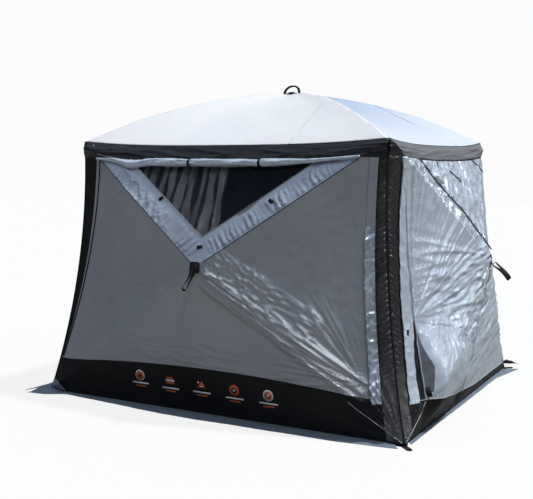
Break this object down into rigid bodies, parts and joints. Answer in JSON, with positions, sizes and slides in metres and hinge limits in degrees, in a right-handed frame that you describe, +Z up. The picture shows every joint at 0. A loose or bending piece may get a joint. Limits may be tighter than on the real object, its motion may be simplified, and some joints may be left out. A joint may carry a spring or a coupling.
{
  "type": "pop-up hub shelter tent",
  "caption": "Four-sided pop-up hub shelter: pole-and-hub walls and roof that snap through flat, triangular cloths, mesh window, ground flap and pull straps.",
  "frame": {"origin": "on the ground, at the middle of the shelter's footprint", "axes": "+Z up; -Y towards the front wall with the mesh window; +X towards the right wall"},
  "size_m": [3.1826, 2.942, 2.159],
  "materials": {
    "black_plastic": "moulded nylon",
    "steel_pin": "plain steel pin",
    "black_webbing": "woven polyester webbing",
    "flap_cloth": "coated grey cloth",
    "pole_fibreglass": "pultruded fibreglass",
    "roof_cloth": "silver coated oxford cloth",
    "wall_cloth": "silver coated oxford cloth with black borders",
    "window_mesh": "fine black insect mesh",
    "silver_cloth": "silver coated cloth, rolled",
    "zip_metal": "black enamelled slider"
  },
  "bodies": {
    "shell_base": {"upper_connectors": "black_plastic", "corner_feet": "black_plastic", "pivot_pins": "steel_pin", "edge_tape": "black_webbing", "ground_flap": "flap_cloth"},
    "front_hub": {"front_hub": "black_plastic"},
    "front_pole_lower_left": {"front_pole_lower_left": "pole_fibreglass"},
    "front_pole_lower_right": {"front_pole_lower_right": "pole_fibreglass"},
    "front_pole_upper_right": {"front_pole_upper_right": "pole_fibreglass"},
    "front_pole_upper_left": {"front_pole_upper_left": "pole_fibreglass"},
    "front_cloth_bottom": {"front_cloth_bottom": "wall_cloth"},
    "front_cloth_right": {"front_cloth_right": "wall_cloth"},
    "front_cloth_top": {"front_cloth_top": "wall_cloth", "front_window_mesh": "window_mesh", "front_window_roll": "silver_cloth"},
    "front_cloth_left": {"front_cloth_left": "wall_cloth"},
    "front_pull_strap": {"front_pull_strap": "black_webbing"},
    "right_hub": {"right_hub": "black_plastic"},
    "right_pole_lower_left": {"right_pole_lower_left": "pole_fibreglass"},
    "right_pole_lower_right": {"right_pole_lower_right": "pole_fibreglass"},
    "right_pole_upper_right": {"right_pole_upper_right": "pole_fibreglass"},
    "right_pole_upper_left": {"right_pole_upper_left": "pole_fibreglass"},
    "right_cloth_bottom": {"right_cloth_bottom": "wall_cloth"},
    "right_cloth_right": {"right_cloth_right": "wall_cloth"},
    "right_cloth_top": {"right_cloth_top": "wall_cloth"},
    "right_cloth_left": {"right_cloth_left": "wall_cloth"},
    "right_pull_strap": {"right_pull_strap": "black_webbing"},
    "back_hub": {"back_hub": "black_plastic"},
    "back_pole_lower_left": {"back_pole_lower_left": "pole_fibreglass"},
    "back_pole_lower_right": {"back_pole_lower_right": "pole_fibreglass"},
    "back_pole_upper_right": {"back_pole_upper_right": "pole_fibreglass"},
    "back_pole_upper_left": {"back_pole_upper_left": "pole_fibreglass"},
    "back_cloth_bottom": {"back_cloth_bottom": "wall_cloth"},
    "back_cloth_right": {"back_cloth_right": "wall_cloth"},
    "back_cloth_top": {"back_cloth_top": "wall_cloth"},
    "back_cloth_left": {"back_cloth_left": "wall_cloth"},
    "back_pull_strap": {"back_pull_strap": "black_webbing"},
    "left_hub": {"left_hub": "black_plastic"},
    "left_pole_lower_left": {"left_pole_lower_left": "pole_fibreglass"},
    "left_pole_lower_right": {"left_pole_lower_right": "pole_fibreglass"},
    "left_pole_upper_right": {"left_pole_upper_right": "pole_fibreglass"},
    "left_pole_upper_left": {"left_pole_upper_left": "pole_fibreglass"},
    "left_cloth_bottom": {"left_cloth_bottom": "wall_cloth"},
    "left_cloth_right": {"left_cloth_right": "wall_cloth"},
    "left_cloth_top": {"left_cloth_top": "wall_cloth"},
    "left_cloth_left": {"left_cloth_left": "wall_cloth"},
    "left_pull_strap": {"left_pull_strap": "black_webbing"},
    "roof_hub": {"roof_hub": "black_plastic", "roof_handle": "black_webbing"},
    "roof_pole_front_left": {"roof_pole_front_left": "pole_fibreglass"},
    "roof_pole_front_right": {"roof_pole_front_right": "pole_fibreglass"},
    "roof_pole_back_right": {"roof_pole_back_right": "pole_fibreglass"},
    "roof_pole_back_left": {"roof_pole_back_left": "pole_fibreglass"},
    "roof_cloth_front": {"roof_cloth_front": "roof_cloth"},
    "roof_cloth_right": {"roof_cloth_right": "roof_cloth"},
    "roof_cloth_back": {"roof_cloth_back": "roof_cloth"},
    "roof_cloth_left": {"roof_cloth_left": "roof_cloth"},
    "front_zip_slider": {"front_zip_slider": "zip_metal"},
    "right_zip_slider": {"right_zip_slider": "zip_metal"}
  },
  "joints": [
    {"name": "front_hub_push", "type": "slide", "parent": "shell_base", "child": "front_hub", "axis": [0, 0.995, -0.1002], "range_m": [0, 0.52]},
    {"name": "front_pole_lower_left_turn", "type": "hinge", "parent": "shell_base", "child": "front_pole_lower_left", "pos_m": [-1.21987, -1.12958, 0.07605], "axis": [-0.5808, 0.0816, 0.8099], "range_deg": [0, 19.71]},
    {"name": "front_pole_lower_right_turn", "type": "hinge", "parent": "shell_base", "child": "front_pole_lower_right", "pos_m": [1.21987, -1.12958, 0.07605], "axis": [-0.5808, -0.0816, -0.8099], "range_deg": [0, 19.71]},
    {"name": "front_pole_upper_right_turn", "type": "hinge", "parent": "shell_base", "child": "front_pole_upper_right", "pos_m": [1.03362, -0.96849, 1.67595], "axis": [0.5808, -0.0816, -0.8099], "range_deg": [0, 23.16]},
    {"name": "front_pole_upper_left_turn", "type": "hinge", "parent": "shell_base", "child": "front_pole_upper_left", "pos_m": [-1.03362, -0.96849, 1.67595], "axis": [0.5808, 0.0816, 0.8099], "range_deg": [0, 23.16]},
    {"name": "front_cloth_bottom_swing", "type": "hinge", "parent": "shell_base", "child": "front_cloth_bottom", "pos_m": [-1.3, -1.17, 0.014], "axis": [-1, 0, 0], "range_deg": [0, 31.06]},
    {"name": "front_cloth_right_swing", "type": "hinge", "parent": "shell_base", "child": "front_cloth_right", "pos_m": [1.3, -1.17, 0.014], "axis": [0.1109, -0.0996, -0.9888], "range_deg": [0, 24.71]},
    {"name": "front_cloth_top_swing", "type": "hinge", "parent": "shell_base", "child": "front_cloth_top", "pos_m": [1.105, -0.995, 1.752], "axis": [1, 0, 0], "range_deg": [0, 35.59]},
    {"name": "front_cloth_left_swing", "type": "hinge", "parent": "shell_base", "child": "front_cloth_left", "pos_m": [-1.105, -0.995, 1.752], "axis": [0.1109, 0.0996, 0.9888], "range_deg": [0, 24.71]},
    {"name": "front_pull_strap_swing", "type": "hinge", "parent": "front_hub", "child": "front_pull_strap", "pos_m": [0, -1.35949, 0.95193], "axis": [-1, 0, 0], "range_deg": [-35, 45]},
    {"name": "right_hub_push", "type": "slide", "parent": "shell_base", "child": "right_hub", "axis": [-0.9938, 0, -0.1115], "range_m": [0, 0.52]},
    {"name": "right_pole_lower_left_turn", "type": "hinge", "parent": "shell_base", "child": "right_pole_lower_left", "pos_m": [1.25859, -1.09193, 0.07819], "axis": [-0.0872, -0.6229, 0.7775], "range_deg": [0, 21.12]},
    {"name": "right_pole_lower_right_turn", "type": "hinge", "parent": "shell_base", "child": "right_pole_lower_right", "pos_m": [1.25859, 1.09193, 0.07819], "axis": [0.0872, -0.6229, -0.7775], "range_deg": [0, 21.12]},
    {"name": "right_pole_upper_right_turn", "type": "hinge", "parent": "shell_base", "child": "right_pole_upper_right", "pos_m": [1.07956, 0.92478, 1.67381], "axis": [0.0872, 0.6229, -0.7775], "range_deg": [0, 24.83]},
    {"name": "right_pole_upper_left_turn", "type": "hinge", "parent": "shell_base", "child": "right_pole_upper_left", "pos_m": [1.07956, -0.92478, 1.67381], "axis": [-0.0872, 0.6229, 0.7775], "range_deg": [0, 24.83]},
    {"name": "right_cloth_bottom_swing", "type": "hinge", "parent": "shell_base", "child": "right_cloth_bottom", "pos_m": [1.3, -1.17, 0.014], "axis": [0, -1, 0], "range_deg": [0, 31.01]},
    {"name": "right_cloth_right_swing", "type": "hinge", "parent": "shell_base", "child": "right_cloth_right", "pos_m": [1.3, 1.17, 0.014], "axis": [0.1109, 0.0996, -0.9888], "range_deg": [0, 27.32]},
    {"name": "right_cloth_top_swing", "type": "hinge", "parent": "shell_base", "child": "right_cloth_top", "pos_m": [1.105, 0.995, 1.752], "axis": [0, 1, 0], "range_deg": [0, 35.56]},
    {"name": "right_cloth_left_swing", "type": "hinge", "parent": "shell_base", "child": "right_cloth_left", "pos_m": [1.105, -0.995, 1.752], "axis": [-0.1109, 0.0996, 0.9888], "range_deg": [0, 27.32]},
    {"name": "right_pull_strap_swing", "type": "hinge", "parent": "right_hub", "child": "right_pull_strap", "pos_m": [1.47863, 0, 0.95555], "axis": [0, -1, 0], "range_deg": [-35, 45]},
    {"name": "back_hub_push", "type": "slide", "parent": "shell_base", "child": "back_hub", "axis": [0, -0.995, -0.1002], "range_m": [0, 0.52]},
    {"name": "back_pole_lower_left_turn", "type": "hinge", "parent": "shell_base", "child": "back_pole_lower_left", "pos_m": [1.21987, 1.12958, 0.07605], "axis": [0.5808, -0.0816, 0.8099], "range_deg": [0, 19.71]},
    {"name": "back_pole_lower_right_turn", "type": "hinge", "parent": "shell_base", "child": "back_pole_lower_right", "pos_m": [-1.21987, 1.12958, 0.07605], "axis": [0.5808, 0.0816, -0.8099], "range_deg": [0, 19.71]},
    {"name": "back_pole_upper_right_turn", "type": "hinge", "parent": "shell_base", "child": "back_pole_upper_right", "pos_m": [-1.03362, 0.96849, 1.67595], "axis": [-0.5808, 0.0816, -0.8099], "range_deg": [0, 23.16]},
    {"name": "back_pole_upper_left_turn", "type": "hinge", "parent": "shell_base", "child": "back_pole_upper_left", "pos_m": [1.03362, 0.96849, 1.67595], "axis": [-0.5808, -0.0816, 0.8099], "range_deg": [0, 23.16]},
    {"name": "back_cloth_bottom_swing", "type": "hinge", "parent": "shell_base", "child": "back_cloth_bottom", "pos_m": [1.3, 1.17, 0.014], "axis": [1, 0, 0], "range_deg": [0, 31.06]},
    {"name": "back_cloth_right_swing", "type": "hinge", "parent": "shell_base", "child": "back_cloth_right", "pos_m": [-1.3, 1.17, 0.014], "axis": [-0.1109, 0.0996, -0.9888], "range_deg": [0, 24.71]},
    {"name": "back_cloth_top_swing", "type": "hinge", "parent": "shell_base", "child": "back_cloth_top", "pos_m": [-1.105, 0.995, 1.752], "axis": [-1, 0, 0], "range_deg": [0, 35.59]},
    {"name": "back_cloth_left_swing", "type": "hinge", "parent": "shell_base", "child": "back_cloth_left", "pos_m": [1.105, 0.995, 1.752], "axis": [-0.1109, -0.0996, 0.9888], "range_deg": [0, 24.71]},
    {"name": "back_pull_strap_swing", "type": "hinge", "parent": "back_hub", "child": "back_pull_strap", "pos_m": [0, 1.35949, 0.95193], "axis": [1, 0, 0], "range_deg": [-35, 45]},
    {"name": "left_hub_push", "type": "slide", "parent": "shell_base", "child": "left_hub", "axis": [0.9938, 0, -0.1115], "range_m": [0, 0.52]},
    {"name": "left_pole_lower_left_turn", "type": "hinge", "parent": "shell_base", "child": "left_pole_lower_left", "pos_m": [-1.25859, 1.09193, 0.07819], "axis": [0.0872, 0.6229, 0.7775], "range_deg": [0, 21.12]},
    {"name": "left_pole_lower_right_turn", "type": "hinge", "parent": "shell_base", "child": "left_pole_lower_right", "pos_m": [-1.25859, -1.09193, 0.07819], "axis": [-0.0872, 0.6229, -0.7775], "range_deg": [0, 21.12]},
    {"name": "left_pole_upper_right_turn", "type": "hinge", "parent": "shell_base", "child": "left_pole_upper_right", "pos_m": [-1.07956, -0.92478, 1.67381], "axis": [-0.0872, -0.6229, -0.7775], "range_deg": [0, 24.83]},
    {"name": "left_pole_upper_left_turn", "type": "hinge", "parent": "shell_base", "child": "left_pole_upper_left", "pos_m": [-1.07956, 0.92478, 1.67381], "axis": [0.0872, -0.6229, 0.7775], "range_deg": [0, 24.83]},
    {"name": "left_cloth_bottom_swing", "type": "hinge", "parent": "shell_base", "child": "left_cloth_bottom", "pos_m": [-1.3, 1.17, 0.014], "axis": [0, 1, 0], "range_deg": [0, 31.01]},
    {"name": "left_cloth_right_swing", "type": "hinge", "parent": "shell_base", "child": "left_cloth_right", "pos_m": [-1.3, -1.17, 0.014], "axis": [-0.1109, -0.0996, -0.9888], "range_deg": [0, 27.32]},
    {"name": "left_cloth_top_swing", "type": "hinge", "parent": "shell_base", "child": "left_cloth_top", "pos_m": [-1.105, -0.995, 1.752], "axis": [0, -1, 0], "range_deg": [0, 35.56]},
    {"name": "left_cloth_left_swing", "type": "hinge", "parent": "shell_base", "child": "left_cloth_left", "pos_m": [-1.105, 0.995, 1.752], "axis": [0.1109, -0.0996, 0.9888], "range_deg": [0, 27.32]},
    {"name": "left_pull_strap_swing", "type": "hinge", "parent": "left_hub", "child": "left_pull_strap", "pos_m": [-1.47863, 0, 0.95555], "axis": [0, 1, 0], "range_deg": [-35, 45]},
    {"name": "roof_hub_push", "type": "slide", "parent": "shell_base", "child": "roof_hub", "axis": [0, 0, -1], "range_m": [0, 0.7]},
    {"name": "roof_pole_front_left_turn", "type": "hinge", "parent": "shell_base", "child": "roof_pole_front_left", "pos_m": [-1.03724, -0.93073, 1.706], "axis": [-0.6679, 0.7443, 0], "range_deg": [0, 28.22]},
    {"name": "roof_pole_front_right_turn", "type": "hinge", "parent": "shell_base", "child": "roof_pole_front_right", "pos_m": [1.03724, -0.93073, 1.706], "axis": [-0.6679, -0.7443, 0], "range_deg": [0, 28.22]},
    {"name": "roof_pole_back_right_turn", "type": "hinge", "parent": "shell_base", "child": "roof_pole_back_right", "pos_m": [1.03724, 0.93073, 1.706], "axis": [0.6679, -0.7443, 0], "range_deg": [0, 28.22]},
    {"name": "roof_pole_back_left_turn", "type": "hinge", "parent": "shell_base", "child": "roof_pole_back_left", "pos_m": [-1.03724, 0.93073, 1.706], "axis": [0.6679, 0.7443, 0], "range_deg": [0, 28.22]},
    {"name": "roof_cloth_front_swing", "type": "hinge", "parent": "shell_base", "child": "roof_cloth_front", "pos_m": [-1.105, -0.995, 1.752], "axis": [-1, 0, 0], "range_deg": [0, 38.78]},
    {"name": "roof_cloth_right_swing", "type": "hinge", "parent": "shell_base", "child": "roof_cloth_right", "pos_m": [1.105, -0.995, 1.752], "axis": [0, -1, 0], "range_deg": [0, 35.17]},
    {"name": "roof_cloth_back_swing", "type": "hinge", "parent": "shell_base", "child": "roof_cloth_back", "pos_m": [1.105, 0.995, 1.752], "axis": [1, 0, 0], "range_deg": [0, 38.78]},
    {"name": "roof_cloth_left_swing", "type": "hinge", "parent": "shell_base", "child": "roof_cloth_left", "pos_m": [-1.105, 0.995, 1.752], "axis": [0, 1, 0], "range_deg": [0, 35.17]},
    {"name": "front_zip_slider_run", "type": "slide", "parent": "front_cloth_left", "child": "front_zip_slider", "axis": [0.1109, 0.0996, 0.9888], "range_m": [0, 1.35]},
    {"name": "right_zip_slider_run", "type": "slide", "parent": "right_cloth_left", "child": "right_zip_slider", "axis": [-0.1109, 0.0996, 0.9888], "range_m": [-0.45, 0.9]}
  ],
  "couplings": [
    {"joint": "front_pole_lower_left_turn", "follows": "front_hub_push", "rad_per_m": 0.66072},
    {"joint": "front_pole_lower_right_turn", "follows": "front_hub_push", "rad_per_m": 0.66072},
    {"joint": "front_pole_upper_right_turn", "follows": "front_hub_push", "rad_per_m": 0.7768},
    {"joint": "front_pole_upper_left_turn", "follows": "front_hub_push", "rad_per_m": 0.7768},
    {"joint": "front_cloth_bottom_swing", "follows": "front_hub_push", "rad_per_m": 1.0419},
    {"joint": "front_cloth_right_swing", "follows": "front_hub_push", "rad_per_m": 0.82861},
    {"joint": "front_cloth_top_swing", "follows": "front_hub_push", "rad_per_m": 1.1938},
    {"joint": "front_cloth_left_swing", "follows": "front_hub_push", "rad_per_m": 0.82861},
    {"joint": "right_pole_lower_left_turn", "follows": "right_hub_push", "rad_per_m": 0.70835},
    {"joint": "right_pole_lower_right_turn", "follows": "right_hub_push", "rad_per_m": 0.70835},
    {"joint": "right_pole_upper_right_turn", "follows": "right_hub_push", "rad_per_m": 0.8327},
    {"joint": "right_pole_upper_left_turn", "follows": "right_hub_push", "rad_per_m": 0.8327},
    {"joint": "right_cloth_bottom_swing", "follows": "right_hub_push", "rad_per_m": 1.0402},
    {"joint": "right_cloth_right_swing", "follows": "right_hub_push", "rad_per_m": 0.91614},
    {"joint": "right_cloth_top_swing", "follows": "right_hub_push", "rad_per_m": 1.193},
    {"joint": "right_cloth_left_swing", "follows": "right_hub_push", "rad_per_m": 0.91614},
    {"joint": "back_pole_lower_left_turn", "follows": "back_hub_push", "rad_per_m": 0.66072},
    {"joint": "back_pole_lower_right_turn", "follows": "back_hub_push", "rad_per_m": 0.66072},
    {"joint": "back_pole_upper_right_turn", "follows": "back_hub_push", "rad_per_m": 0.7768},
    {"joint": "back_pole_upper_left_turn", "follows": "back_hub_push", "rad_per_m": 0.7768},
    {"joint": "back_cloth_bottom_swing", "follows": "back_hub_push", "rad_per_m": 1.0419},
    {"joint": "back_cloth_right_swing", "follows": "back_hub_push", "rad_per_m": 0.82861},
    {"joint": "back_cloth_top_swing", "follows": "back_hub_push", "rad_per_m": 1.1938},
    {"joint": "back_cloth_left_swing", "follows": "back_hub_push", "rad_per_m": 0.82861},
    {"joint": "left_pole_lower_left_turn", "follows": "left_hub_push", "rad_per_m": 0.70835},
    {"joint": "left_pole_lower_right_turn", "follows": "left_hub_push", "rad_per_m": 0.70835},
    {"joint": "left_pole_upper_right_turn", "follows": "left_hub_push", "rad_per_m": 0.8327},
    {"joint": "left_pole_upper_left_turn", "follows": "left_hub_push", "rad_per_m": 0.8327},
    {"joint": "left_cloth_bottom_swing", "follows": "left_hub_push", "rad_per_m": 1.0402},
    {"joint": "left_cloth_right_swing", "follows": "left_hub_push", "rad_per_m": 0.91614},
    {"joint": "left_cloth_top_swing", "follows": "left_hub_push", "rad_per_m": 1.193},
    {"joint": "left_cloth_left_swing", "follows": "left_hub_push", "rad_per_m": 0.91614},
    {"joint": "roof_pole_front_left_turn", "follows": "roof_hub_push", "rad_per_m": 0.70302},
    {"joint": "roof_pole_front_right_turn", "follows": "roof_hub_push", "rad_per_m": 0.70302},
    {"joint": "roof_pole_back_right_turn", "follows": "roof_hub_push", "rad_per_m": 0.70302},
    {"joint": "roof_pole_back_left_turn", "follows": "roof_hub_push", "rad_per_m": 0.70302},
    {"joint": "roof_cloth_front_swing", "follows": "roof_hub_push", "rad_per_m": 0.9664},
    {"joint": "roof_cloth_right_swing", "follows": "roof_hub_push", "rad_per_m": 0.87641},
    {"joint": "roof_cloth_back_swing", "follows": "roof_hub_push", "rad_per_m": 0.9664},
    {"joint": "roof_cloth_left_swing", "follows": "roof_hub_push", "rad_per_m": 0.87641}
  ]
}
